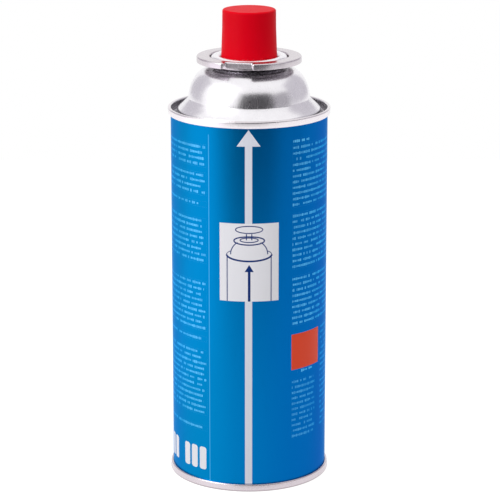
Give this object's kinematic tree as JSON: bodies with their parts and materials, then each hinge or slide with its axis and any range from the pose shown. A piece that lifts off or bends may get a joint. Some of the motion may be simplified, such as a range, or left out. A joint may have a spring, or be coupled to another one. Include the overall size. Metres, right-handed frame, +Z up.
{
  "type": "gas fuel canister",
  "caption": "Tall tinplate fuel canister with a domed top, a notched metal collar round a press valve, and a red push-on cap",
  "frame": {"origin": "middle of the base, on the plane that the foot seam stands on", "axes": "+Z up along the can's axis, -Y to the front with the arrow stripe, +X to the right"},
  "size_m": [0.0682, 0.0682, 0.2002],
  "materials": {
    "printed_tinplate": "glossy blue printed tinplate",
    "bright_tinplate": "bright drawn tinplate",
    "red_plastic": "glossy moulded plastic",
    "natural_plastic": "natural moulded plastic",
    "black_rubber": "matt rubber",
    "spring_steel": "bright drawn wire"
  },
  "bodies": {
    "canister": {"can": "printed_tinplate", "cup_gasket": "black_rubber", "valve_cup": "bright_tinplate", "notched_collar": "bright_tinplate", "pick_up_tube": "natural_plastic", "valve_housing": "natural_plastic", "stem_spring": "spring_steel", "stem_gasket": "black_rubber"},
    "stem": {"valve_stem": "natural_plastic"},
    "cap": {"protective_cap": "red_plastic"}
  },
  "joints": [
    {"name": "stem_press", "type": "slide", "parent": "canister", "child": "stem", "axis": [0, 0, 1], "range_m": [-0.002, 0], "stiffness_N_per_m": 1000, "deforming": ["stem_spring"]},
    {"name": "cap_lift", "type": "slide", "parent": "canister", "child": "cap", "axis": [0, 0, 1], "range_m": [0, 0.03]}
  ]
}
